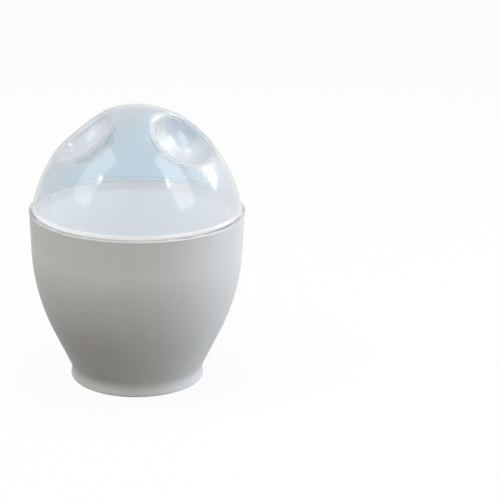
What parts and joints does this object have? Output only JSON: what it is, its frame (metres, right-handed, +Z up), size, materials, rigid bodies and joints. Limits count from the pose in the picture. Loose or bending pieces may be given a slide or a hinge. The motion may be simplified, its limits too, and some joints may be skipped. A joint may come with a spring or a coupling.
{
  "type": "microwave egg cooker",
  "caption": "Microwave egg cooker: white egg-shaped cup on a low foot ring, closed by a clear dome lid with finger scoops.",
  "frame": {"origin": "middle of the foot ring, on the surface the cooker stands on", "axes": "+Z up along the axis of the cup and lid, -Y towards the front ridge of the lid, +X to the right seen from the front"},
  "size_m": [0.0762, 0.0762, 0.0991],
  "materials": {
    "cup_plastic": "white moulded polypropylene, semi-gloss",
    "lid_plastic": "clear, faintly blue moulded polypropylene, glossy"
  },
  "bodies": {
    "root": {"cup": "cup_plastic", "lid": "lid_plastic"}
  },
  "joints": []
}
